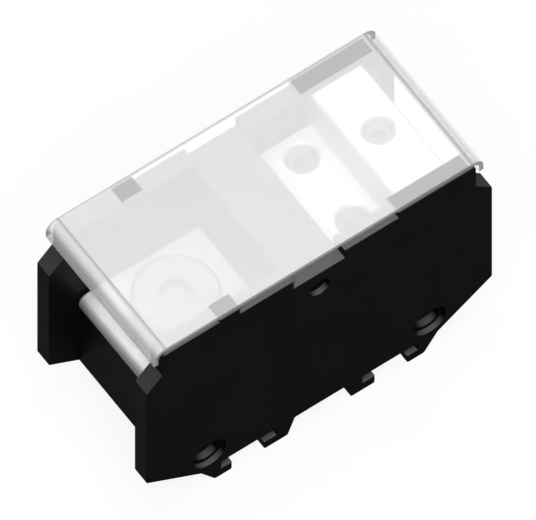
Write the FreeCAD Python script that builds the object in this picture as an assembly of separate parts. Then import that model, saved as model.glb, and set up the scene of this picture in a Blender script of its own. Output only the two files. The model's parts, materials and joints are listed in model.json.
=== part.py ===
import FreeCAD, Part

# Single-pole power distribution block for a 35 mm top-hat rail.
#
# A one-piece conductor runs the length of a black moulded base. Its flat bar takes one ring
# terminal under a cap screw at the left end, and its stepped block takes three wires under set
# screws at the right end. A clear push-on cover with rolled ends lies on the two side walls.
#
# Frame: origin on the ground under the middle of the block, +X along its length towards the
# wire end, +Y across its width, +Z up. Millimetres.

import math
import os

from FreeCAD import Vector

# ---- base: overall ----
base_length = 62.4
base_width = 28.2
side_wall = 3.1            # thickness of each of the two side walls
deck_z = 43.9              # top of the side walls, where the cover lies
underside_z = 3.7          # flat underside, which bears on the rail
end_low_z = 10.2           # where the sloping underside meets the upright ends
slope_angle = 33.5         # slope of the underside near the ends, degrees
wall_round = 0.2           # rounding of the outer rim of each side wall

# ---- base: ends of the side walls, under the cover's rolled ends ----
bevel_low = 8.8            # below the deck, where the bevel starts at the upright end
bevel_high = 5.8           # below the deck, where the bevel meets the neck
neck_gap = 0.6             # between the neck and the cover's lip
corner_round = 1.0         # rounding of the neck's top corner inside the rolled end

# ---- base: stepped tops of the side walls ----
grip_half = 14.3           # half length of the shallow step that leaves room for fingers
grip_depth = 1.5
saddle_half = 4.6          # half length of the deep step, level with the bridge
saddle_depth = 3.6
pad_length = 3.7           # raised pad that carries the cover left of the shallow step
relief_depth = 0.5         # the wall's top is this much lower beyond the pad

# ---- base: rail feet, cut in the side walls ----
rail_width = 35.0
rail_clearance = 0.2
lip_thickness = 1.9        # height of each lip that reaches under the rail's flange
outer_lip_reach = 1.9      # how far the outer lips reach under the flange
outer_toe = 3.1            # length of the outer feet on the ground
inner_web_half = 7.8       # half distance between the outer sides of the inner feet's webs
inner_lip_reach = 2.2
inner_toe_half = 5.7       # half distance between the inner feet on the ground
inner_root_half = 4.4      # and where they meet the underside
foot_round = 0.3

# ---- base: floor, end walls, ribs and bridge ----
seat_z = 21.5              # top of the floor, which carries the conductor
floor_thickness = 3.4
end_wall = 2.2
end_recess = 5.5           # end walls lie this far inside the ends of the side walls
rib_thickness = 1.8
rib_half_pitch = 15.2      # the two outer ribs bear on the rail's flanges
bridge_clearance = 0.2     # over the bar, which slides in under the bridge

# ---- base: blind recesses in the outer faces of the side walls ----
gang_x = 19.9
gang_z = 8.0
gang_radius = 2.15
gang_depth = 2.1
gang_step_radius = 3.0
gang_step_depth = 0.9
dimple_radius = 1.85
dimple_depth = 0.9
dimple_below_deck = 7.5

# ---- conductor ----
side_clearance = 0.2
conductor_setback = 0.6    # inside the outer face of the end wall at the wire end
nose_overhang = 0.45       # beyond the outer face of the other end wall
bar_thickness = 3.5        # the bar's end is rounded over its whole thickness
cover_gap = 1.0            # between the top of the block and the deck
tier_step = 8.1            # upper tier above lower tier
upper_tier_length = 9.4
stop_gap = 0.3             # between the block and the bridge that stops it
conductor_chamfer = 0.35

# ---- wire terminals in the block ----
wire_radius = 2.6
wire_z = 4.6               # lower wire bores above the floor
wire_half_pitch = 6.55
wire_overrun = 3.3         # how far each wire bore runs past its screw
wire_mouth = 0.5           # chamfer of each bore's mouth
upper_screw_inset = 4.6    # from the block's end face
lower_screw_inset = 13.8
set_screw_radius = 2.45
set_screw_length = 4.0
set_screw_recess = 2.0     # below the tier's top when open
set_screw_key = 2.5
thread_clearance = 0.05

# ---- ring terminal ----
cap_screw_inset = 10.2     # from the bar's rounded end
cap_screw_radius = 3.95
cap_screw_length = 16.0
cap_head_radius = 6.8
cap_head_height = 4.8
cap_key = 5.0
cap_key_depth = 2.8
bar_hole_clearance = 0.35
washer_thickness = 1.3
washer_radius = 6.4
washer_clearance = 0.25
washer_split = 0.9
nut_width = 13.0
nut_height = 6.5
pocket_clearance = 0.15
nut_boss_wall = 1.5
shank_clearance = 0.5
boss_floor = 1.2

# ---- screws that hold the conductor from below ----
fixing_radius = 1.95
fixing_hole_clearance = 0.25
fixing_depth = 6.0         # into the block
fixing_tap_spare = 0.5     # the tapped hole runs on past the screw's end
fixing_head_radius = 3.5
fixing_head_height = 2.6
fixing_slot_width = 1.0
fixing_slot_depth = 1.2
lower_fixing_gap = 0.5     # between the rib and the head on its inner side
upper_fixing_gap = 0.1     # and on its outer side

# ---- cover ----
cover_thickness = 0.9
cover_roll = 2.1           # outer radius of the rolled ends
cover_lip = 1.3            # straight lip below each rolled end
cover_end_inset = 1.4      # rolled ends lie this far inside the ends of the base
cover_side_inset = 0.2
cover_round = 0.2

# ---- sizes that follow from those above ----
half_length = base_length / 2
half_width = base_width / 2
cavity_half = half_width - side_wall
wall_end_x = half_length - end_recess
conductor_half = wall_end_x - conductor_setback
conductor_half_width = cavity_half - side_clearance
bar_top = seat_z + bar_thickness
upper_tier_top = deck_z - cover_gap
lower_tier_top = upper_tier_top - tier_step
floor_low = seat_z - floor_thickness
bridge_top = deck_z - saddle_depth
cover_half = half_length - cover_end_inset
cover_top = deck_z + cover_thickness
cover_half_width = half_width - cover_side_inset
nose_x = -wall_end_x - nose_overhang
cap_screw_x = nose_x + cap_screw_inset
hex_corner = 1 / math.cos(math.radians(30))


def box(x_range, y_range, z_range):
    """A box between the two limits given along each axis."""
    size = [high - low for low, high in (x_range, y_range, z_range)]
    return Part.makeBox(*size, Vector(x_range[0], y_range[0], z_range[0]))


def rod(radius, x, y, z_low, z_high):
    """An upright cylinder."""
    return Part.makeCylinder(radius, z_high - z_low, Vector(x, y, z_low))


def hexagon(width, x, y, z_low, z_high):
    """An upright hexagonal prism, measured across its flats."""
    corner = width / 2 * hex_corner
    turns = [math.radians(60 * k) for k in range(7)]
    ring = [Vector(x + corner * math.cos(t), y + corner * math.sin(t), z_low) for t in turns]
    return Part.Face(Part.makePolygon(ring)).extrude(Vector(0, 0, z_high - z_low))


def turned(profile, x, y):
    """A solid of revolution about an upright axis, from (radius, z) points on one side of it."""
    points = [Vector(x + radius, y, z) for radius, z in profile]
    face = Part.Face(Part.makePolygon(points + points[:1]))
    return face.revolve(Vector(x, y, 0), Vector(0, 0, 1), 360)


def rounded_wire(corners):
    """A closed wire in the XZ plane through (x, z, radius) corners, each rounded by its radius."""
    points = [Vector(x, 0, z) for x, z, _ in corners]
    joins = []
    for i, (_, _, radius) in enumerate(corners):
        corner = points[i]
        back = (points[i - 1] - corner).normalize()
        ahead = (points[(i + 1) % len(points)] - corner).normalize()
        half = back.getAngle(ahead) / 2
        run = radius / math.tan(half)
        inward = (back + ahead).normalize()
        crown = corner + inward * (radius / math.sin(half) - radius)
        joins.append((corner + back * run, crown, corner + ahead * run))
    edges = []
    for i, (start, crown, end) in enumerate(joins):
        if (end - start).Length > 1e-6:
            edges.append(Part.Arc(start, crown, end).toShape())
        following = joins[(i + 1) % len(joins)][0]
        edges.append(Part.LineSegment(end, following).toShape())
    return Part.Wire(edges)


def slab(corners, y_low, y_high):
    """A flat plate of that outline between two planes across the block."""
    face = Part.Face(rounded_wire(corners))
    face.translate(Vector(0, y_low, 0))
    return face.extrude(Vector(0, y_high - y_low, 0))


def edges_where(shape, test):
    """The edges whose every vertex passes the test."""
    return [e for e in shape.Edges if all(test(v.Point) for v in e.Vertexes)]


def fused(shapes):
    """The shapes as one solid."""
    return shapes[0].fuse(shapes[1:]).removeSplitter()


# ---------------------------------------------------------------- base

def foot_corners():
    """The underside of a side wall from the middle to the sloping end, as (x, z, radius)."""
    web = rail_width / 2 + rail_clearance
    inner_tip = inner_web_half + inner_lip_reach
    outer_tip = web - outer_lip_reach
    slope_run = (end_low_z - underside_z) / math.tan(math.radians(slope_angle))
    return [
        (inner_root_half, underside_z, foot_round),
        (inner_toe_half, 0, foot_round),
        (inner_tip, 0, foot_round),
        (inner_tip, lip_thickness, 0),
        (inner_web_half, lip_thickness, 0),
        (inner_web_half, underside_z, 0),
        (web, underside_z, 0),
        (web, lip_thickness, 0),
        (outer_tip, lip_thickness, 0),
        (outer_tip, 0, foot_round),
        (outer_tip + outer_toe, 0, 2 * foot_round),
        (half_length - slope_run, underside_z, foot_round),
        (half_length, end_low_z, foot_round),
    ]


def end_corners(top):
    """The end of a side wall from its upright edge to its top corner at that height."""
    neck_x = cover_half - cover_thickness - neck_gap
    return [
        (half_length, deck_z - bevel_low, foot_round),
        (neck_x, deck_z - bevel_high, foot_round),
        (neck_x, top, corner_round),
    ]


def wall_outline():
    """The whole outline of a side wall, anticlockwise from the middle of its underside."""
    right = foot_corners() + end_corners(deck_z)
    left = foot_corners() + end_corners(deck_z - relief_depth)
    grip_z = deck_z - grip_depth
    pad_x = -grip_half - pad_length
    steps = [
        (grip_half, deck_z, 0),
        (grip_half, grip_z, 0),
        (saddle_half, grip_z, 0),
        (saddle_half, bridge_top, 0),
        (-saddle_half, bridge_top, 0),
        (-saddle_half, grip_z, 0),
        (-grip_half, grip_z, 0),
        (-grip_half, deck_z, 0),
        (pad_x, deck_z, 0),
        (pad_x, deck_z - relief_depth, 0),
    ]
    mirrored = [(-x, z, radius) for x, z, radius in reversed(left)]
    return right + steps + mirrored


def side_wall_solid(side):
    """One side wall, at +1 or -1 across the block, with a rounded outer rim and its recesses."""
    outer, inner = side * half_width, side * cavity_half
    wall = slab(wall_outline(), min(outer, inner), max(outer, inner))
    rim = edges_where(wall, lambda p: abs(p.y - outer) < 1e-4)
    wall = wall.makeFillet(wall_round, rim)
    inward = Vector(0, -side, 0)
    recesses = [Part.makeCylinder(dimple_radius, dimple_depth, Vector(0, outer, deck_z - dimple_below_deck), inward)]
    for x in (-gang_x, gang_x):
        mouth = Vector(x, outer, gang_z)
        recesses.append(Part.makeCylinder(gang_radius, gang_depth, mouth, inward))
        recesses.append(Part.makeCylinder(gang_step_radius, gang_step_depth, mouth, inward))
    return wall.cut(recesses)


def underside_limit():
    """The space above the flat underside and its sloping ends, which the inner walls keep to."""
    slope_run = (end_low_z - underside_z) / math.tan(math.radians(slope_angle))
    flat = half_length - slope_run
    outline = [
        (-flat, underside_z, 0.5),
        (flat, underside_z, 0.5),
        (half_length, end_low_z, 0.5),
        (half_length, deck_z, 0.5),
        (-half_length, deck_z, 0.5),
        (-half_length, end_low_z, 0.5),
    ]
    return slab(outline, -half_width, half_width)


def floor_and_ribs():
    """The floor under the conductor, the two end walls, the ribs and the nut's boss."""
    across = (-cavity_half, cavity_half)
    floor = box((-wall_end_x, wall_end_x), across, (floor_low, seat_z))
    walls = [box((x, x + end_wall), across, (0, seat_z)) for x in (-wall_end_x, wall_end_x - end_wall)]
    ribs = [
        box((x - rib_thickness / 2, x + rib_thickness / 2), across, (0, seat_z))
        for x in (-rib_half_pitch, 0, rib_half_pitch)
    ]
    boss_radius = nut_width / 2 * hex_corner + pocket_clearance + nut_boss_wall
    boss = rod(boss_radius, cap_screw_x, 0, cap_screw_end() - shank_clearance - boss_floor, seat_z)
    return fused([floor] + walls + ribs + [boss]).common(underside_limit())


def bridge():
    """The bridge over the bar, which joins the side walls and stops the block."""
    return box((-saddle_half, saddle_half), (-cavity_half, cavity_half), (bar_top + bridge_clearance, bridge_top))


def cap_screw_end():
    """The height of the cap screw's lower end when it is tight."""
    return bar_top + washer_thickness - cap_screw_length


def nut_pocket():
    """The hexagonal pocket for the nut, with room for the screw's shank below it."""
    low = seat_z - nut_height - pocket_clearance
    pocket = hexagon(nut_width + 2 * pocket_clearance, cap_screw_x, 0, low, seat_z)
    shank = rod(cap_screw_radius + shank_clearance, cap_screw_x, 0, cap_screw_end() - shank_clearance, seat_z)
    return pocket.fuse(shank)


def fixing_places():
    """The x of each screw that holds the conductor from below, one each side of the outer rib."""
    reach = fixing_head_radius + rib_thickness / 2
    return [rib_half_pitch - reach - lower_fixing_gap, rib_half_pitch + reach + upper_fixing_gap]


def base():
    """The moulded base."""
    body = fused([side_wall_solid(-1), side_wall_solid(1), floor_and_ribs(), bridge()])
    holes = [nut_pocket()]
    for x in fixing_places():
        holes.append(rod(fixing_radius + fixing_hole_clearance, x, 0, floor_low, seat_z))
    return body.cut(holes)


# ---------------------------------------------------------------- conductor and its screws

def terminals():
    """Each wire terminal as (name, x, y, bore height, top of its tier)."""
    low_x = conductor_half - lower_screw_inset
    low_z = seat_z + wire_z
    return [
        ("lower_front", low_x, -wire_half_pitch, low_z, lower_tier_top),
        ("lower_back", low_x, wire_half_pitch, low_z, lower_tier_top),
        ("upper", conductor_half - upper_screw_inset, 0, low_z + tier_step, upper_tier_top),
    ]


def wire_hole(x, y, z, top):
    """A blind wire bore from the end face with its chamfered mouth, and the screw hole over it."""
    inner_end = x - wire_overrun
    bore = Part.makeCylinder(wire_radius, conductor_half - inner_end, Vector(inner_end, y, z), Vector(1, 0, 0))
    mouth = Part.makeCone(
        wire_radius, wire_radius + wire_mouth, wire_mouth,
        Vector(conductor_half - wire_mouth, y, z), Vector(1, 0, 0),
    )
    screw_radius = set_screw_radius + thread_clearance
    screw = rod(screw_radius, x, y, z, top)
    lead = Part.makeCone(screw_radius, screw_radius + conductor_chamfer, conductor_chamfer,
                         Vector(x, y, top - conductor_chamfer))
    return bore.fuse([mouth, screw, lead])


def conductor():
    """The bar and the two-tier block, one piece."""
    block_x = saddle_half + stop_gap
    tier_x = conductor_half - upper_tier_length
    nose_round = 0.49 * bar_thickness
    outline = [
        (nose_x, seat_z, nose_round),
        (conductor_half, seat_z, 0),
        (conductor_half, upper_tier_top, 0),
        (tier_x, upper_tier_top, 0),
        (tier_x, lower_tier_top, 0),
        (block_x, lower_tier_top, 0),
        (block_x, bar_top, 0),
        (nose_x, bar_top, nose_round),
    ]
    body = slab(outline, -conductor_half_width, conductor_half_width)
    tops = (bar_top, lower_tier_top, upper_tier_top)
    rims = edges_where(body, lambda p: any(abs(p.z - top) < 1e-4 for top in tops))
    # The inner corners at the foot of each riser stay sharp, and so does the rounded end.
    inner = ((block_x, bar_top), (tier_x, lower_tier_top), (nose_x + nose_round, bar_top))
    rims = [
        e for e in rims
        if not any(all(abs(v.X - x) < 1e-4 and abs(v.Z - z) < 1e-4 for v in e.Vertexes) for x, z in inner)
        and abs(e.Vertexes[0].Z - e.Vertexes[-1].Z) < 1e-4
    ]
    body = body.makeChamfer(conductor_chamfer, rims)
    cuts = [wire_hole(x, y, z, top) for _, x, y, z, top in terminals()]
    cuts.append(rod(cap_screw_radius + bar_hole_clearance, cap_screw_x, 0, seat_z, bar_top))
    for x in fixing_places():
        cuts.append(rod(fixing_radius + thread_clearance, x, 0, seat_z, seat_z + fixing_depth + fixing_tap_spare))
    return body.cut(cuts)


def set_screw(x, y, top):
    """A hexagon-socket set screw in its open place, flat point down."""
    high = top - set_screw_recess
    low = high - set_screw_length
    edge = 0.4
    profile = [(0, low), (set_screw_radius - edge, low), (set_screw_radius, low + edge),
               (set_screw_radius, high - edge), (set_screw_radius - edge, high), (0, high)]
    socket = hexagon(set_screw_key, x, y, high - set_screw_length / 2, high)
    return turned(profile, x, y).cut(socket)


def cap_screw():
    """The low-head hexagon-socket cap screw of the ring terminal, tight on its washer."""
    seat = bar_top + washer_thickness
    top = seat + cap_head_height
    end = cap_screw_end()
    edge = 0.5
    profile = [
        (0, end), (cap_screw_radius - edge, end), (cap_screw_radius, end + edge),
        (cap_screw_radius, seat), (cap_head_radius, seat), (cap_head_radius, top - edge),
        (cap_head_radius - edge, top), (0, top),
    ]
    return turned(profile, cap_screw_x, 0).cut(hexagon(cap_key, cap_screw_x, 0, top - cap_key_depth, top))


def spring_washer():
    """The split spring washer under the cap screw's head, pressed flat."""
    hole = cap_screw_radius + washer_clearance
    ring = rod(washer_radius, cap_screw_x, 0, bar_top, bar_top + washer_thickness)
    ring = ring.cut(rod(hole, cap_screw_x, 0, bar_top, bar_top + washer_thickness))
    gap = box((cap_screw_x, cap_screw_x + 2 * washer_radius), (-washer_split / 2, washer_split / 2),
              (bar_top, bar_top + washer_thickness))
    gap.rotate(Vector(cap_screw_x, 0, bar_top), Vector(0, 0, 1), 45)
    return ring.cut(gap)


def nut():
    """The captive nut under the bar, with chamfered corners."""
    low = seat_z - nut_height
    corner = nut_width / 2 * hex_corner
    flat = nut_width / 2
    drop = (corner - flat) * math.tan(math.radians(30))
    profile = [(0, low), (flat, low), (corner, low + drop), (corner, seat_z - drop), (flat, seat_z), (0, seat_z)]
    body = hexagon(nut_width, cap_screw_x, 0, low, seat_z).common(turned(profile, cap_screw_x, 0))
    return body.cut(rod(cap_screw_radius + thread_clearance, cap_screw_x, 0, low, seat_z))


def fixing_screw(x):
    """A slotted cheese-head screw up through the floor into the block."""
    edge = 0.3
    head_low = floor_low - fixing_head_height
    end = seat_z + fixing_depth
    profile = [
        (0, head_low), (fixing_head_radius - edge, head_low), (fixing_head_radius, head_low + edge),
        (fixing_head_radius, floor_low), (fixing_radius, floor_low), (fixing_radius, end - edge),
        (fixing_radius - edge, end), (0, end),
    ]
    slot = box((x - fixing_head_radius, x + fixing_head_radius),
               (-fixing_slot_width / 2, fixing_slot_width / 2), (head_low, head_low + fixing_slot_depth))
    return turned(profile, x, 0).cut(slot)


# ---------------------------------------------------------------- cover

def cover():
    """The clear cover: a thin sheet whose rolled, lipped ends drop over the necks of the walls."""
    lip_z = cover_top - cover_roll - cover_lip
    inner = cover_half - cover_thickness
    outline = [
        (-cover_half, lip_z, wall_round),
        (-cover_half, cover_top, cover_roll),
        (cover_half, cover_top, cover_roll),
        (cover_half, lip_z, wall_round),
        (inner, lip_z, wall_round),
        (inner, deck_z, cover_roll - cover_thickness),
        (-inner, deck_z, cover_roll - cover_thickness),
        (-inner, lip_z, wall_round),
    ]
    sheet = slab(outline, -cover_half_width, cover_half_width)
    rims = edges_where(sheet, lambda p: abs(abs(p.y) - cover_half_width) < 1e-4 and p.z > cover_top - cover_roll - 1e-4)
    rims = [e for e in rims if abs(e.Vertexes[0].Y - e.Vertexes[-1].Y) < 1e-4 and e.BoundBox.ZMax > cover_top - 1e-4]
    return sheet.makeFillet(cover_round, rims)


def nodes():
    """Every piece by its node name."""
    made = {
        "base": base(),
        "conductor": conductor(),
        "cover": cover(),
        "input_screw": cap_screw(),
        "input_spring_washer": spring_washer(),
        "input_nut": nut(),
    }
    for name, x, y, _, top in terminals():
        made["output_screw_" + name] = set_screw(x, y, top)
    for number, x in enumerate(fixing_places(), 1):
        made["fixing_screw_%d" % number] = fixing_screw(x)
    return made


os.makedirs("parts", exist_ok=True)
for node_name, shape in nodes().items():
    shape.exportStep("parts/%s.step" % node_name)
    limits = shape.BoundBox
    print(
        "%-28s solids %d valid %s volume %9.1f  x %.2f..%.2f  y %.2f..%.2f  z %.2f..%.2f"
        % (node_name, len(shape.Solids), shape.isValid(), shape.Volume, limits.XMin, limits.XMax,
           limits.YMin, limits.YMax, limits.ZMin, limits.ZMax)
    )
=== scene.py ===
"""A rail-mounted power distribution block: its finishes, its screw threads, and a plain studio."""

import json
import logging
import math
from dataclasses import dataclass
from typing import Any

import bmesh
import bpy
from mathutils import Matrix, Vector

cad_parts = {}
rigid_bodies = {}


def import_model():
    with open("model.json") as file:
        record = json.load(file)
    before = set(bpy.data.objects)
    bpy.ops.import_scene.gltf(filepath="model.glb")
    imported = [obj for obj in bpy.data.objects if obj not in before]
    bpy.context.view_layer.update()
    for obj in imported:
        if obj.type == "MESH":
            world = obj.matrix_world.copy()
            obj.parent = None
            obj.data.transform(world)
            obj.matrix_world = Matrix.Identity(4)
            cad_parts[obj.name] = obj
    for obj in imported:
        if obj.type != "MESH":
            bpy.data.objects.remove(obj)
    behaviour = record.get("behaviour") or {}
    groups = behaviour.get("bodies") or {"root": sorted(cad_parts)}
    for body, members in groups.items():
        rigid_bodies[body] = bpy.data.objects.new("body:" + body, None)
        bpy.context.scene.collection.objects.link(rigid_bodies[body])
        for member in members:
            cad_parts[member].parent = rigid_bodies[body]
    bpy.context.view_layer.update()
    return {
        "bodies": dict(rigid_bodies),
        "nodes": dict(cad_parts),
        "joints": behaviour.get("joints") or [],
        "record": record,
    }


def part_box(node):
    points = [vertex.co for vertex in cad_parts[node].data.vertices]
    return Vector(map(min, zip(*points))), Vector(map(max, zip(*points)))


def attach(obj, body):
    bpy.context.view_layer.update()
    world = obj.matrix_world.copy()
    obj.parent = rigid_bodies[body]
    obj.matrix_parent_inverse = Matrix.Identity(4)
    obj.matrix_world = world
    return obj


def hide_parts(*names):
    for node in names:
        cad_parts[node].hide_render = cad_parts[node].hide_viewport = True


log = logging.getLogger("distribution_block")

MM = 0.001
WHITE = "#FFFFFF"
BLACK = "#000000"
NOISE_LOW, NOISE_HIGH = 0.3, 0.7       # a noise texture seldom leaves this band
WAVE_BANDS = 3.18                      # in each metre, of a wave texture at a scale of 1
FINE, SOFT, PLAIN = 3.0, 2.0, 1.0      # how many finer layers a pattern carries

# A Mix node has sockets of the same name for numbers and colours, so they go by their places.
FACTOR, FIRST_NUMBER, SECOND_NUMBER, FIRST_COLOUR, SECOND_COLOUR = 0, 2, 3, 6, 7
MIXED_COLOUR = 2


# ---------------------------------------------------------------- small helpers

def linear_colour(hex_colour: str) -> tuple[float, float, float, float]:
    """Turn an sRGB hex colour into linear red, green, blue and an alpha of 1.

    Args:
        hex_colour: six hex digits after a hash.

    Returns:
        The four linear numbers that a colour socket takes.
    """
    parts = [int(hex_colour[i:i + 2], 16) / 255 for i in (1, 3, 5)]
    red, green, blue = [p / 12.92 if p <= 0.04045 else ((p + 0.055) / 1.055) ** 2.4 for p in parts]
    return red, green, blue, 1.0


def add_node(
    tree: bpy.types.NodeTree, kind: str, inputs: dict[Any, Any] | None = None, **settings: Any,
) -> bpy.types.Node:
    """Add a node to a material or geometry tree, set it up and link it.

    Args:
        tree: the tree that takes the node.
        kind: the node's type name.
        inputs: a value or an output socket for each input, by its name or number.
        settings: attributes of the node itself.

    Returns:
        The new node.
    """
    node = tree.nodes.new(kind)
    for name, value in settings.items():
        setattr(node, name, value)
    for key, value in (inputs or {}).items():
        if isinstance(value, bpy.types.NodeSocket):
            tree.links.new(value, node.inputs[key])
        else:
            node.inputs[key].default_value = value
    return node


def set_ramp(node: bpy.types.Node, stops: list[tuple[float, str]]) -> None:
    """Set the stops of a colour ramp.

    Args:
        node: the ramp.
        stops: a place and a hex colour for each of its two stops.
    """
    for element, (place, colour) in zip(node.color_ramp.elements, stops):
        element.position = place
        element.color = linear_colour(colour)


def start_material(name: str) -> tuple[bpy.types.Material, bpy.types.NodeTree, bpy.types.Node]:
    """Make an empty material.

    Args:
        name: what the finish is called.

    Returns:
        The material, its node tree and its shader.
    """
    made = bpy.data.materials.new(name)
    made.use_nodes = True
    return made, made.node_tree, made.node_tree.nodes["Principled BSDF"]


def connect(
    tree: bpy.types.NodeTree, shader: bpy.types.Node,
    outputs: dict[str, bpy.types.NodeSocket],
) -> None:
    """Link an output socket to each named input of a shader."""
    for name, output in outputs.items():
        tree.links.new(output, shader.inputs[name])


def link_new(name: str, data: Any) -> bpy.types.Object:
    """Put a new object in the scene, at the origin.

    Args:
        name: what the object is called.
        data: its mesh, camera or lamp.

    Returns:
        The new object.
    """
    made = bpy.data.objects.new(name, data)
    bpy.context.scene.collection.objects.link(made)
    return made


# ---------------------------------------------------------------- finishes

@dataclass(frozen=True)
class MouldedPolyamide:
    """Black polyamide, injection moulded in a spark-eroded tool."""

    # It gives the eye a deep black with a fine even grain and hardly any shine.
    name: str = "black polyamide, spark-eroded moulding"
    dark: str = "#0B0B0C"
    light: str = "#101011"
    # The colour below is a painted sheen for faces that look up.
    painted_top_sheen: str = "#666668"
    sheen_from: float = 0.52        # how much a face looks up, from 0 to 1, before the painted sheen starts
    sheen_most: float = 0.9
    grain: float = 0.28 * MM       # the real grain is nearer 0.05 mm, drawn coarse enough to show
    cloud: float = 9.0 * MM
    cloud_low: float = 0.35
    cloud_high: float = 0.65
    roughness: float = 0.46
    smoother: float = 0.04
    rougher: float = 0.06
    relief: float = 0.012 * MM
    ior: float = 1.53
    shine: float = 0.03

    def material(self) -> bpy.types.Material:
        """Build the material.

        Returns:
            The material.
        """
        made, tree, shader = start_material(self.name)
        place = add_node(tree, "ShaderNodeTexCoord").outputs
        grain = add_node(tree, "ShaderNodeTexNoise", {
            "Vector": place["Object"], "Scale": 1 / self.grain, "Detail": FINE,
        })
        cloud = add_node(tree, "ShaderNodeTexNoise", {
            "Vector": place["Object"], "Scale": 1 / self.cloud, "Detail": SOFT,
        })
        tint = add_node(tree, "ShaderNodeValToRGB", {"Fac": cloud.outputs["Fac"]})
        set_ramp(tint, [(self.cloud_low, self.dark), (self.cloud_high, self.light)])
        # Painted sheen: ledges and other faces that look up are painted a paler grey, which stands
        # for the sheen that light from above gives them.
        facing = add_node(tree, "ShaderNodeSeparateXYZ", {0: place["Normal"]})
        top_sheen_mask = add_node(tree, "ShaderNodeMapRange", {
            "Value": facing.outputs["Z"], "From Min": self.sheen_from, "From Max": 1.0,
            "To Min": 0.0, "To Max": self.sheen_most,
        })
        shade = add_node(tree, "ShaderNodeMix", {
            FACTOR: top_sheen_mask.outputs[0], FIRST_COLOUR: tint.outputs["Color"],
            SECOND_COLOUR: linear_colour(self.painted_top_sheen),
        }, data_type="RGBA")
        gloss = add_node(tree, "ShaderNodeMapRange", {
            "Value": grain.outputs["Fac"], "From Min": NOISE_LOW, "From Max": NOISE_HIGH,
            "To Min": self.roughness - self.smoother, "To Max": self.roughness + self.rougher,
        })
        bump = add_node(tree, "ShaderNodeBump", {
            "Height": grain.outputs["Fac"], "Distance": self.relief, "Strength": 1.0,
        })
        connect(tree, shader, {
            "Base Color": shade.outputs[MIXED_COLOUR], "Roughness": gloss.outputs[0],
            "Normal": bump.outputs[0],
        })
        shader.inputs["IOR"].default_value = self.ior
        shader.inputs["Specular IOR Level"].default_value = self.shine
        return made


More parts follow.
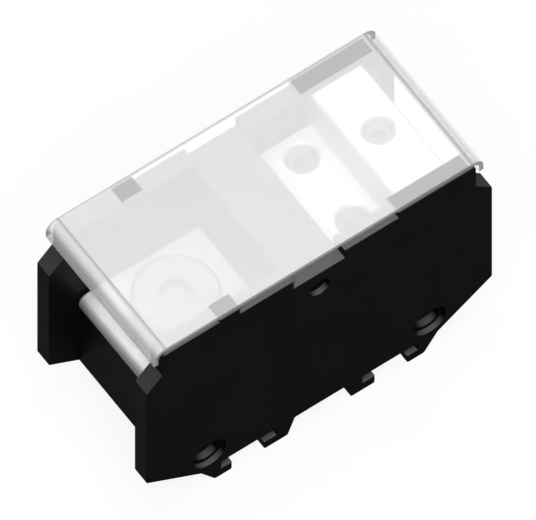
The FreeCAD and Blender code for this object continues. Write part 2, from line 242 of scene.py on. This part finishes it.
@dataclass(frozen=True)
class FrostedPolycarbonate:
    """Clear polycarbonate sheet moulding, frosted."""

    # Light scatters at both of its surfaces, so what lies below shows pale and milky. Where the
    # underside lies on the walls only the outer one scatters, and the black shows through more.
    name: str = "clear polycarbonate, frosted underside"
    colour: str = "#F4F4F4"
    veil: float = 0.45             # how much each of the sheet's two surfaces covers
    drift: float = 0.02            # how much the veil changes from place to place
    drift_size: float = 6.0 * MM
    # The rim colour is painted shade for the sheet's cut edges and the line where each roll
    # begins.
    rim_shade_colour: str = "#8F9091"
    rim_from: float = 0.25         # how much a face looks sideways, from 0 to 1
    rim_full: float = 0.8
    rim_strength: float = 0.8
    rim_veil: float = 0.5
    roll: float = 2.1 * MM         # from the sheet's end to the line where its rolled end begins
    line_width: float = 0.34 * MM
    line_core: float = 0.4         # of the line's width, at full strength
    line_strength: float = 0.75
    # Below, from, full, until and end are how much a face looks endways, from 0 to 1.
    # The lip colour and the bend's grey are painted shade on the rolled ends.
    lip_shade_colour: str = "#9B9C9D"
    lip_from: float = 0.8
    lip_full: float = 0.97
    lip_veil: float = 0.14
    clear_from: float = 0.5
    clear_full: float = 0.85
    clear_veil: float = 0.36
    bend_full: float = 0.25
    bend_until: float = 0.45
    bend_end: float = 0.8
    bend_strength: float = 0.75
    shadow_veil: float = 0.08
    roughness: float = 0.42
    ior: float = 1.58
    shine: float = 0.15

    def line_node(
        self, tree: bpy.types.NodeTree, length: bpy.types.NodeSocket, end: float,
    ) -> bpy.types.Node:
        """Find how near a point is to the line where a rolled end begins.

        Args:
            tree: the material's tree.
            length: the socket that holds the point's place along the sheet.
            end: how far the sheet's end is from the middle.

        Returns:
            The node that gives the line's strength there.
        """
        reach = add_node(tree, "ShaderNodeMath", {0: length}, operation="ABSOLUTE")
        apart = add_node(tree, "ShaderNodeMath", {
            0: reach.outputs[0], 1: end - self.roll,
        }, operation="SUBTRACT")
        near = add_node(tree, "ShaderNodeMath", {0: apart.outputs[0]}, operation="ABSOLUTE")
        return add_node(tree, "ShaderNodeMapRange", {
            "Value": near.outputs[0],
            "From Min": self.line_core * self.line_width, "From Max": self.line_width,
            "To Min": self.line_strength, "To Max": 0.0,
        })

    def end_nodes(
        self, tree: bpy.types.NodeTree,
        length: bpy.types.NodeSocket, endways: bpy.types.NodeSocket,
    ) -> tuple[bpy.types.Node, bpy.types.Node, bpy.types.Node]:
        """Find how much painted shade or painted light the rolled ends get at a point.

        Args:
            tree: the material's tree.
            length: the socket that holds the point's place along the sheet.
            endways: the socket that holds how much its surface looks along the sheet.

        Returns:
            The nodes that give the painted shade of the lug's lip, the clearer far end, which
            stands for light falling on it, and the painted shade of that end's bend.
        """
        turned = add_node(tree, "ShaderNodeMath", {0: endways}, operation="ABSOLUTE")
        far_end = add_node(tree, "ShaderNodeMath", {0: length, 1: 0.0}, operation="GREATER_THAN")
        far_side = add_node(tree, "ShaderNodeMath", {
            0: turned.outputs[0], 1: far_end.outputs[0],
        }, operation="MULTIPLY")
        lug_side = add_node(tree, "ShaderNodeMath", {
            0: turned.outputs[0], 1: far_side.outputs[0],
        }, operation="SUBTRACT")
        lip = add_node(tree, "ShaderNodeMapRange", {
            "Value": lug_side.outputs[0], "From Min": self.lip_from, "From Max": self.lip_full,
            "To Min": 0.0, "To Max": 1.0,
        })
        clearer = add_node(tree, "ShaderNodeMapRange", {
            "Value": far_side.outputs[0], "From Min": self.clear_from, "From Max": self.clear_full,
            "To Min": 0.0, "To Max": self.clear_veil,
        })
        curving = add_node(tree, "ShaderNodeMapRange", {
            "Value": far_side.outputs[0], "From Min": 0.0, "From Max": self.bend_full,
            "To Min": 0.0, "To Max": self.bend_strength,
        })
        curved = add_node(tree, "ShaderNodeMapRange", {
            "Value": far_side.outputs[0], "From Min": self.bend_until, "From Max": self.bend_end,
            "To Min": 0.0, "To Max": self.bend_strength,
        })
        bend = add_node(tree, "ShaderNodeMath", {
            0: curving.outputs[0], 1: curved.outputs[0],
        }, operation="SUBTRACT")
        return lip, clearer, bend

    def material(self, end: float) -> bpy.types.Material:
        """Build the material.

        Args:
            end: how far each end of the sheet is from the middle.

        Returns:
            The material.
        """
        made, tree, shader = start_material(self.name)
        place = add_node(tree, "ShaderNodeTexCoord").outputs
        length = add_node(tree, "ShaderNodeSeparateXYZ", {0: place["Object"]}).outputs["X"]
        facing = add_node(tree, "ShaderNodeSeparateXYZ", {0: place["Normal"]})
        haze = add_node(tree, "ShaderNodeTexNoise", {
            "Vector": place["Object"], "Scale": 1 / self.drift_size, "Detail": SOFT,
        })
        veil = add_node(tree, "ShaderNodeMath", {
            0: haze.outputs["Fac"], 1: self.drift, 2: self.veil - self.drift / 2,
        }, operation="MULTIPLY_ADD")
        # Painted shade: the sheet's cut edges and the line where each roll begins are painted
        # grey, which stands for the dark reflections a clear sheet shows there.
        sideways = add_node(tree, "ShaderNodeMath", {0: facing.outputs["Y"]}, operation="ABSOLUTE")
        edge = add_node(tree, "ShaderNodeMapRange", {
            "Value": sideways.outputs[0], "From Min": self.rim_from, "From Max": self.rim_full,
            "To Min": 0.0, "To Max": self.rim_strength,
        })
        line = self.line_node(tree, length, end)
        grey = add_node(tree, "ShaderNodeMath", {
            0: edge.outputs[0], 1: line.outputs[0],
        }, operation="MAXIMUM")
        # Painted shade: the lip at the lug's end is painted a smoky grey and its veil thickened,
        # as if in shade. The one at the other end is made clearer, so it shows lighter as if lit,
        # with a painted grey band where it curves over.
        lip, clearer, bend = self.end_nodes(tree, length, facing.outputs["X"])
        roll_shade = add_node(tree, "ShaderNodeMath", {
            0: lip.outputs[0], 1: bend.outputs[0],
        }, operation="ADD")
        body = add_node(tree, "ShaderNodeMix", {
            FACTOR: roll_shade.outputs[0], FIRST_COLOUR: linear_colour(self.colour),
            SECOND_COLOUR: linear_colour(self.lip_shade_colour),
        }, data_type="RGBA")
        colour = add_node(tree, "ShaderNodeMix", {
            FACTOR: grey.outputs[0], FIRST_COLOUR: body.outputs[MIXED_COLOUR],
            SECOND_COLOUR: linear_colour(self.rim_shade_colour),
        }, data_type="RGBA")
        thicker = add_node(tree, "ShaderNodeMath", {
            0: lip.outputs[0], 1: self.lip_veil, 2: veil.outputs[0],
        }, operation="MULTIPLY_ADD")
        thinner = add_node(tree, "ShaderNodeMath", {
            0: thicker.outputs[0], 1: clearer.outputs[0],
        }, operation="SUBTRACT")
        total = add_node(tree, "ShaderNodeMath", {
            0: grey.outputs[0], 1: self.rim_veil, 2: thinner.outputs[0],
        }, operation="MULTIPLY_ADD")
        # Most of the light that meets the sheet goes on through it, so it throws little shadow.
        path = add_node(tree, "ShaderNodeLightPath")
        alpha = add_node(tree, "ShaderNodeMapRange", {
            "Value": path.outputs["Is Shadow Ray"], "From Min": 0.0, "From Max": 1.0,
            "To Min": total.outputs[0], "To Max": self.shadow_veil,
        })
        connect(tree, shader, {
            "Base Color": colour.outputs[MIXED_COLOUR], "Alpha": alpha.outputs[0],
        })
        shader.inputs["Roughness"].default_value = self.roughness
        shader.inputs["IOR"].default_value = self.ior
        shader.inputs["Specular IOR Level"].default_value = self.shine
        return made


@dataclass(frozen=True)
class TinPlate:
    """Aluminium, extruded, milled at its ends and tin plated."""

    # It gives a pale satin metal with faint lines along the extrusion, which crosses the block.
    name: str = "tin-plated aluminium, extruded"
    bright: str = "#F7F7F7"
    dull: str = "#EFEFF0"
    bloom: float = 4.0 * MM        # the size of the plate's cloudy patches
    bloom_low: float = 0.35
    bloom_high: float = 0.6
    line: float = 0.35 * MM        # the real lines are finer, drawn coarse enough to show
    line_stretch: float = 0.03
    mark: float = 0.5 * MM         # the real marks are nearer 0.1 mm, drawn coarse enough to show
    mark_wobble: float = 0.6
    mark_strength: float = 0.13
    mark_from: float = 0.1         # how much a face looks endways, from 0 to 1
    mark_full: float = 0.6
    # The three below set the painted shade on faces that look along the block.
    end_shade_depth: float = 0.42
    end_shade_from: float = 0.5
    end_shade_full: float = 0.95
    roughness: float = 0.46
    smoother: float = 0.05
    rougher: float = 0.07
    metallic: float = 0.55
    relief: float = 0.003 * MM

    def end_shade(
        self, tree: bpy.types.NodeTree, place: bpy.types.bpy_prop_collection,
    ) -> bpy.types.Node:
        """Find how much painted shade the milled ends get, darker the more they face along the
        block, with the cutter's upright marks on them.

        Args:
            tree: the material's tree.
            place: the outputs of the coordinates node.

        Returns:
            The node that gives the shade, from 0 to 1.
        """
        marks = add_node(tree, "ShaderNodeTexWave", {
            "Vector": place["Object"], "Scale": 1 / (WAVE_BANDS * self.mark),
            "Distortion": self.mark_wobble, "Detail": PLAIN,
        }, bands_direction="Y")
        facing = add_node(tree, "ShaderNodeSeparateXYZ", {0: place["Normal"]})
        endways = add_node(tree, "ShaderNodeMath", {0: facing.outputs["X"]}, operation="ABSOLUTE")
        milled = add_node(tree, "ShaderNodeMapRange", {
            "Value": endways.outputs[0], "From Min": self.mark_from, "From Max": self.mark_full,
            "To Min": 0.0, "To Max": self.mark_strength,
        })
        # Painted shade: faces that look along the block are darkened towards black, as if shaded.
        painted_end_darkening = add_node(tree, "ShaderNodeMapRange", {
            "Value": endways.outputs[0], "From Min": self.end_shade_from, "From Max": self.end_shade_full,
            "To Min": 0.0, "To Max": self.end_shade_depth,
        })
        return add_node(tree, "ShaderNodeMath", {
            0: marks.outputs["Fac"], 1: milled.outputs[0], 2: painted_end_darkening.outputs[0],
        }, operation="MULTIPLY_ADD")

    def material(self) -> bpy.types.Material:
        """Build the material.

        Returns:
            The material.
        """
        made, tree, shader = start_material(self.name)
        place = add_node(tree, "ShaderNodeTexCoord").outputs
        stretched = add_node(tree, "ShaderNodeMapping", {
            "Vector": place["Object"], "Scale": (1.0, self.line_stretch, 1.0),
        })
        lines = add_node(tree, "ShaderNodeTexNoise", {
            "Vector": stretched.outputs[0], "Scale": 1 / self.line, "Detail": FINE,
        })
        bloom = add_node(tree, "ShaderNodeTexNoise", {
            "Vector": place["Object"], "Scale": 1 / self.bloom, "Detail": FINE,
        })
        tint = add_node(tree, "ShaderNodeValToRGB", {"Fac": bloom.outputs["Fac"]})
        set_ramp(tint, [(self.bloom_low, self.dull), (self.bloom_high, self.bright)])
        # The ends are mixed towards black by the painted shade and the cutter's marks.
        metal = add_node(tree, "ShaderNodeMix", {
            FACTOR: self.end_shade(tree, place).outputs[0],
            FIRST_COLOUR: tint.outputs["Color"], SECOND_COLOUR: linear_colour(BLACK),
        }, data_type="RGBA")
        gloss = add_node(tree, "ShaderNodeMapRange", {
            "Value": lines.outputs["Fac"], "From Min": NOISE_LOW, "From Max": NOISE_HIGH,
            "To Min": self.roughness - self.smoother, "To Max": self.roughness + self.rougher,
        })
        bump = add_node(tree, "ShaderNodeBump", {
            "Height": lines.outputs["Fac"], "Distance": self.relief, "Strength": 1.0,
        })
        connect(tree, shader, {
            "Base Color": metal.outputs[MIXED_COLOUR], "Roughness": gloss.outputs[0],
            "Normal": bump.outputs[0],
        })
        shader.inputs["Metallic"].default_value = self.metallic
        return made


@dataclass(frozen=True)
class ZincPlate:
    """Cold-headed steel, zinc plated."""

    # It gives a cool grey metal with a faint mottle, which the plating bath leaves.
    name: str = "zinc-plated steel, cold headed"
    bright: str = "#B4B7BA"
    dull: str = "#ADB0B3"
    mottle: float = 1.4 * MM
    roughness: float = 0.62
    metallic: float = 0.6
    relief: float = 0.0003 * MM

    def material(self) -> bpy.types.Material:
        """Build the material.

        Returns:
            The material.
        """
        made, tree, shader = start_material(self.name)
        place = add_node(tree, "ShaderNodeTexCoord").outputs["Object"]
        mottle = add_node(tree, "ShaderNodeTexNoise", {
            "Vector": place, "Scale": 1 / self.mottle, "Detail": SOFT,
        })
        tint = add_node(tree, "ShaderNodeValToRGB", {"Fac": mottle.outputs["Fac"]})
        set_ramp(tint, [(NOISE_LOW, self.dull), (NOISE_HIGH, self.bright)])
        bump = add_node(tree, "ShaderNodeBump", {
            "Height": mottle.outputs["Fac"], "Distance": self.relief, "Strength": 1.0,
        })
        connect(tree, shader, {"Base Color": tint.outputs["Color"], "Normal": bump.outputs[0]})
        shader.inputs["Metallic"].default_value = self.metallic
        shader.inputs["Roughness"].default_value = self.roughness
        return made


# Painted shade: the small set screws are painted a darker grey than the other screws, which stands
# for the shade in the holes they sit in.
HOLE_SHADE_ZINC = ZincPlate(
    name="zinc-plated steel, darkened for shade in holes", bright="#8E9296", dull="#7E8286",
)


# ---------------------------------------------------------------- the object's own pieces

@dataclass
class Dressing:
    """The finish of each of the block's nodes."""

    plastic: bpy.types.Material
    clear: bpy.types.Material
    metal: bpy.types.Material
    zinc: bpy.types.Material

    def dress(self, frame: dict[str, Any]) -> None:
        """Give every node its finish.
        """
        chosen = {"base": self.plastic, "cover": self.clear, "conductor": self.metal}
        for name, node in frame["nodes"].items():
            finish = chosen.get(name, self.zinc)
            for slot in node.material_slots:
                slot.material = finish
            log.info("%s wears %s", name, finish.name)


@dataclass(frozen=True)
class ThreadSize:
    """A thread's pitch and its depth from crest to root, in metres."""

    pitch: float
    depth: float


TERMINAL_THREAD = ThreadSize(1.25 * MM, 0.68 * MM)
WIRE_THREAD = ThreadSize(0.8 * MM, 0.43 * MM)
FIXING_THREAD = ThreadSize(0.7 * MM, 0.38 * MM)


@dataclass
class ThreadCutter:
    """Rolls a thread round the shank of a screw."""

    finish: bpy.types.Material
    steps_per_turn: int = 40
    ridge_corners: int = 4
    tree: bpy.types.NodeTree | None = None

    def build_tree(self) -> bpy.types.NodeTree:
        """Make the geometry tree: one ridge swept along a helix, with its finish on it.

        Returns:
            The tree, with named inputs for the thread's sizes.
        """
        tree = bpy.data.node_groups.new("rolled thread", "GeometryNodeTree")
        for name in ("Radius", "Length", "Pitch", "Half Height", "Bottom"):
            tree.interface.new_socket(name, in_out="INPUT", socket_type="NodeSocketFloat")
        tree.interface.new_socket("Finish", in_out="INPUT", socket_type="NodeSocketMaterial")
        tree.interface.new_socket("Geometry", in_out="OUTPUT", socket_type="NodeSocketGeometry")
        given = add_node(tree, "NodeGroupInput").outputs
        turns = add_node(tree, "ShaderNodeMath", {
            0: given["Length"], 1: given["Pitch"],
        }, operation="DIVIDE")
        middle = add_node(tree, "ShaderNodeMath", {
            0: given["Radius"], 1: given["Half Height"],
        }, operation="SUBTRACT")
        helix = add_node(tree, "GeometryNodeCurveSpiral", {
            "Resolution": self.steps_per_turn, "Rotations": turns.outputs[0],
            "Start Radius": middle.outputs[0], "End Radius": middle.outputs[0],
            "Height": given["Length"],
        })
        lift = add_node(tree, "ShaderNodeCombineXYZ", {"Z": given["Bottom"]})
        raised = add_node(tree, "GeometryNodeTransform", {
            "Geometry": helix.outputs[0], "Translation": lift.outputs[0],
        })
        ridge = add_node(tree, "GeometryNodeCurvePrimitiveCircle", {
            "Resolution": self.ridge_corners, "Radius": given["Half Height"],
        })
        swept = add_node(tree, "GeometryNodeCurveToMesh", {
            "Curve": raised.outputs[0], "Profile Curve": ridge.outputs[0], "Fill Caps": True,
        })
        flat = add_node(tree, "GeometryNodeSetShadeSmooth", {
            "Geometry": swept.outputs[0], "Shade Smooth": False,
        })
        real = add_node(tree, "GeometryNodeRealizeInstances", {"Geometry": flat.outputs[0]})
        worn = add_node(tree, "GeometryNodeSetMaterial", {
            "Geometry": real.outputs[0], "Material": given["Finish"],
        })
        add_node(tree, "NodeGroupOutput", {"Geometry": worn.outputs[0]})
        return tree

    def ridge(
        self, radius: float, bottom: float, length: float, pitch: float, half_height: float,
    ) -> bpy.types.Mesh:
        """Make one thread ridge round the Z axis.

        Args:
            radius: to the thread's crest, in metres.
            bottom: height of its lower end.
            length: of the threaded part.
            pitch: from one turn to the next.
            half_height: from the middle of the ridge to its crest.

        Returns:
            A plain mesh.
        """
        if self.tree is None:
            self.tree = self.build_tree()
        holder = link_new("thread_holder", bpy.data.meshes.new("thread_holder"))
        modifier = holder.modifiers.new("thread", "NODES")
        modifier.node_group = self.tree
        values = {
            "Radius": radius, "Length": length, "Pitch": pitch, "Half Height": half_height,
            "Bottom": bottom, "Finish": self.finish,
        }
        for item in self.tree.interface.items_tree:
            if item.in_out == "INPUT":
                modifier[item.identifier] = values[item.name]
        evaluated = holder.evaluated_get(bpy.context.evaluated_depsgraph_get())
        mesh = bpy.data.meshes.new_from_object(evaluated)
        bpy.data.objects.remove(holder)
        return mesh


@dataclass
class Screw:
    """One screw of the block, with its thread formed."""

    node: str
    body: str
    thread: ThreadSize
    cutter: ThreadCutter
    merge_gap: float = 0.002 * MM
    slack: float = 0.01 * MM       # how far off a surface a point still counts as on it
    tip_reach: float = 1.2 * MM    # how far above the tip the thread's crest is measured
    tip_chamfer: float = 0.3 * MM
    end_gap: float = 0.6           # of the thread's depth, left bare at each end of the shank
    ridge_share: float = 0.62      # of the thread's depth, from the ridge's middle to its crest
    sharp_angle: float = 32.0      # in degrees

    def turn_down(self, work: bmesh.types.BMesh, tip_height: float) -> tuple[float, float, float]:
        """Take the shank down to the thread's root.

        Args:
            work: the screw, with its axis on the Z axis.
            tip_height: height of its tip.

        Returns:
            The thread's crest radius, and the heights of the shank's bottom and top.
        """
        tip = [v for v in work.verts if v.co.z < tip_height + self.tip_reach]
        crest = max(v.co.xy.length for v in tip)
        shank = [v for v in work.verts if abs(v.co.xy.length - crest) < self.slack]
        root = crest - self.thread.depth
        for vertex in shank:
            vertex.co.xy = vertex.co.xy * (root / crest)
        # The chamfered tip keeps to the thread's root as well.
        end = root - self.tip_chamfer
        for vertex in work.verts:
            if vertex.co.z < tip_height + self.slack and vertex.co.xy.length > end:
                vertex.co.xy = vertex.co.xy * (end / vertex.co.xy.length)
        return crest, min(v.co.z for v in shank), max(v.co.z for v in shank)

    def build(self, frame: dict[str, Any]) -> bpy.types.Object:
        """Copy the screw's own solid, turn its shank down and roll the thread on it.


        Returns:
            The finished piece, which stands for the node.
        """
        low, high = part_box(self.node)
        centre = Vector(((low.x + high.x) / 2, (low.y + high.y) / 2, 0))
        work = bmesh.new()
        work.from_mesh(frame["nodes"][self.node].data)
        bmesh.ops.remove_doubles(work, verts=work.verts, dist=self.merge_gap)
        work.transform(Matrix.Translation(-centre))
        crest, bottom, top = self.turn_down(work, low.z)
        gap = self.end_gap * self.thread.depth
        half_height = self.ridge_share * self.thread.depth
        work.from_mesh(self.cutter.ridge(
            crest, bottom + gap, top - bottom - 2 * gap, self.thread.pitch, half_height,
        ))
        work.transform(Matrix.Translation(centre))
        mesh = bpy.data.meshes.new(self.node + "_threaded")
        work.to_mesh(mesh)
        work.free()
        # The copied corner normals no longer fit once the shank has moved.
        if "custom_normal" in mesh.attributes:
            mesh.attributes.remove(mesh.attributes["custom_normal"])
        mesh.materials.append(self.cutter.finish)
        for polygon in mesh.polygons:
            polygon.material_index = 0
            polygon.use_smooth = True
        mesh.set_sharp_from_angle(angle=math.radians(self.sharp_angle))
        piece = link_new(self.node + "_threaded", mesh)
        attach(piece, self.body)
        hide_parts(self.node)
        log.info("%s threaded, %d faces", self.node, len(mesh.polygons))
        return piece


# ---------------------------------------------------------------- studio

@dataclass
class Studio:
    """A plain pale floor, three soft lamps, a dim even room and the camera."""

    # Lengths are in metres, angles in degrees and powers in watts.
    look_at: tuple[float, float, float] = (-6.34 * MM, -9.84 * MM, 44.4 * MM)
    camera_azimuth: float = -35.23
    camera_elevation: float = 58.6
    camera_width: float = 79.06 * MM
    camera_distance: float = 0.6
    camera_near: float = 0.01
    camera_far: float = 10.0
    lamp_size: float = 0.3
    lamp_distance: float = 0.62
    overhead_tilt: float = 2.0
    overhead_power: float = 1.42
    front_power: float = 2.5
    back_rise: float = 12.0
    back_power: float = 1.4
    fill_level: float = 0.12
    wall_level: float = 0.3
    wall_top: float = 0.35         # how far up a direction points, from -1 to 1
    ceiling_bottom: float = 0.85
    floor_colour: str = "#7C7C7C"
    floor_reach: float = 1.2
    floor_sides: int = 96
    floor_roughness: float = 0.9
    floor_shine: float = 0.1
    floor_glow: float = 0.88
    floor_mirror_glow: float = 0.08

    def view_back(self) -> Vector:
        """The direction from the object to the camera."""
        around, up = math.radians(self.camera_azimuth), math.radians(self.camera_elevation)
        return Vector((
            math.sin(around) * math.cos(up), -math.cos(around) * math.cos(up), math.sin(up),
        ))

    def build_camera(self) -> None:
        """Make the camera, with parallel rays, so that parallel edges stay parallel."""
        data = bpy.data.cameras.new("camera")
        data.type = "ORTHO"
        data.ortho_scale = self.camera_width
        data.clip_start, data.clip_end = self.camera_near, self.camera_far
        camera = link_new("camera", data)
        back = self.view_back()
        camera.location = Vector(self.look_at) + back * self.camera_distance
        camera.rotation_mode = "QUATERNION"
        camera.rotation_quaternion = (-back).to_track_quat("-Z", "Y")
        bpy.context.scene.camera = camera

    def hang_softbox(self, name: str, towards: Vector, power: float) -> None:
        """Hang a square softbox, facing the block.

        Args:
            name: the lamp's name.
            towards: the direction from the block to the lamp.
            power: in watts.
        """
        data = bpy.data.lights.new(name, "AREA")
        data.shape = "SQUARE"
        data.size = self.lamp_size
        data.energy = power
        softbox = link_new(name, data)
        softbox.location = towards.normalized() * self.lamp_distance
        softbox.rotation_mode = "QUATERNION"
        softbox.rotation_quaternion = towards.to_track_quat("Z", "Y")

    def build_lights(self) -> None:
        """Hang a softbox overhead, one at the camera and a low one behind."""
        back = self.view_back()
        away = Vector((-back.x, -back.y, 0)).normalized()
        tilt, rise = math.radians(self.overhead_tilt), math.radians(self.back_rise)
        overhead = away * math.sin(tilt) + Vector((0, 0, math.cos(tilt)))
        behind = away * math.cos(rise) + Vector((0, 0, math.sin(rise)))
        self.hang_softbox("overhead_softbox", overhead, self.overhead_power)
        self.hang_softbox("front_softbox", back, self.front_power)
        self.hang_softbox("back_softbox", behind, self.back_power)

    def build_world(self) -> None:
        """Light the room evenly and dimly, and show it white where it is seen straight on."""
        world = bpy.data.worlds.new("room")
        world.use_nodes = True
        tree = world.node_tree
        tree.nodes.clear()
        path = add_node(tree, "ShaderNodeLightPath").outputs
        straight = add_node(tree, "ShaderNodeMath", {
            0: path["Is Camera Ray"], 1: path["Is Transmission Ray"],
        }, operation="MAXIMUM")
        level = add_node(tree, "ShaderNodeMapRange", {
            "Value": straight.outputs[0], "From Min": 0.0, "From Max": 1.0,
            "To Min": self.fill_level, "To Max": 1.0,
        })
        # Gloss shows a white ceiling and walls in half shade.
        place = add_node(tree, "ShaderNodeTexCoord").outputs["Generated"]
        height = add_node(tree, "ShaderNodeSeparateXYZ", {0: place})
        room = add_node(tree, "ShaderNodeMapRange", {
            "Value": height.outputs["Z"],
            "From Min": self.wall_top, "From Max": self.ceiling_bottom,
            "To Min": self.wall_level, "To Max": 1.0,
        })
        chosen = add_node(tree, "ShaderNodeMix", {
            FACTOR: path["Is Glossy Ray"], FIRST_NUMBER: level.outputs[0],
            SECOND_NUMBER: room.outputs[0],
        })
        light = add_node(tree, "ShaderNodeBackground", {
            "Color": linear_colour(WHITE), "Strength": chosen.outputs[0],
        })
        add_node(tree, "ShaderNodeOutputWorld", {"Surface": light.outputs[0]})
        bpy.context.scene.world = world

    def floor_paper(self) -> bpy.types.Material:
        """Make the floor's paper, which looks white but throws little light on the block.

        Returns:
            The material.
        """
        paper, tree, shader = start_material("white paper, matt")
        shader.inputs["Roughness"].default_value = self.floor_roughness
        shader.inputs["Specular IOR Level"].default_value = self.floor_shine
        path = add_node(tree, "ShaderNodeLightPath").outputs
        straight = add_node(tree, "ShaderNodeMath", {
            0: path["Is Camera Ray"], 1: path["Is Transmission Ray"],
        }, operation="MAXIMUM")
        shown = add_node(tree, "ShaderNodeMix", {
            FACTOR: straight.outputs[0], FIRST_COLOUR: linear_colour(self.floor_colour),
            SECOND_COLOUR: linear_colour(WHITE),
        }, data_type="RGBA")
        connect(tree, shader, {"Base Color": shown.outputs[MIXED_COLOUR]})
        direct = add_node(tree, "ShaderNodeMath", {
            0: straight.outputs[0], 1: self.floor_glow,
        }, operation="MULTIPLY")
        mirrored = add_node(tree, "ShaderNodeMath", {
            0: path["Is Glossy Ray"], 1: self.floor_mirror_glow,
        }, operation="MULTIPLY")
        glow = add_node(tree, "ShaderNodeMath", {
            0: direct.outputs[0], 1: mirrored.outputs[0],
        }, operation="MAXIMUM")
        white = add_node(tree, "ShaderNodeEmission", {
            "Color": linear_colour(WHITE), "Strength": 1.0,
        })
        mixed = add_node(tree, "ShaderNodeMixShader", {
            0: glow.outputs[0], 1: shader.outputs[0], 2: white.outputs[0],
        })
        tree.links.new(mixed.outputs[0], tree.nodes["Material Output"].inputs["Surface"])
        return paper

    def build_floor(self) -> None:
        """Lay a round pale floor under the feet."""
        work = bmesh.new()
        bmesh.ops.create_circle(
            work, cap_ends=True, segments=self.floor_sides, radius=self.floor_reach,
        )
        mesh = bpy.data.meshes.new("floor")
        work.to_mesh(mesh)
        work.free()
        mesh.materials.append(self.floor_paper())
        link_new("floor", mesh)

    def build(self) -> None:
        """Set up the whole studio."""
        self.build_camera()
        self.build_lights()
        self.build_world()
        self.build_floor()
        bpy.context.scene.view_settings.view_transform = "Standard"
        log.info("studio ready")


def main() -> None:
    """Load the frame, dress and finish every piece, and set up the studio."""
    logging.basicConfig(level=logging.INFO)
    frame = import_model()
    Studio().build()
    zinc = ZincPlate().material()
    hole_shade_zinc = HOLE_SHADE_ZINC.material()
    Dressing(
        plastic=MouldedPolyamide().material(),
        clear=FrostedPolycarbonate().material(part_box("cover")[1].x),
        metal=TinPlate().material(),
        zinc=zinc,
    ).dress(frame)
    cutter = ThreadCutter(zinc)
    hole_shade_cutter = ThreadCutter(hole_shade_zinc)
    Screw("input_screw", "input_screw", TERMINAL_THREAD, cutter).build(frame)
    for place in ("upper", "lower_front", "lower_back"):
        name = "output_screw_" + place
        Screw(name, name, WIRE_THREAD, hole_shade_cutter).build(frame)
    for number in (1, 2):
        Screw("fixing_screw_%d" % number, "block", FIXING_THREAD, cutter).build(frame)


if __name__ == "__main__":
    main()
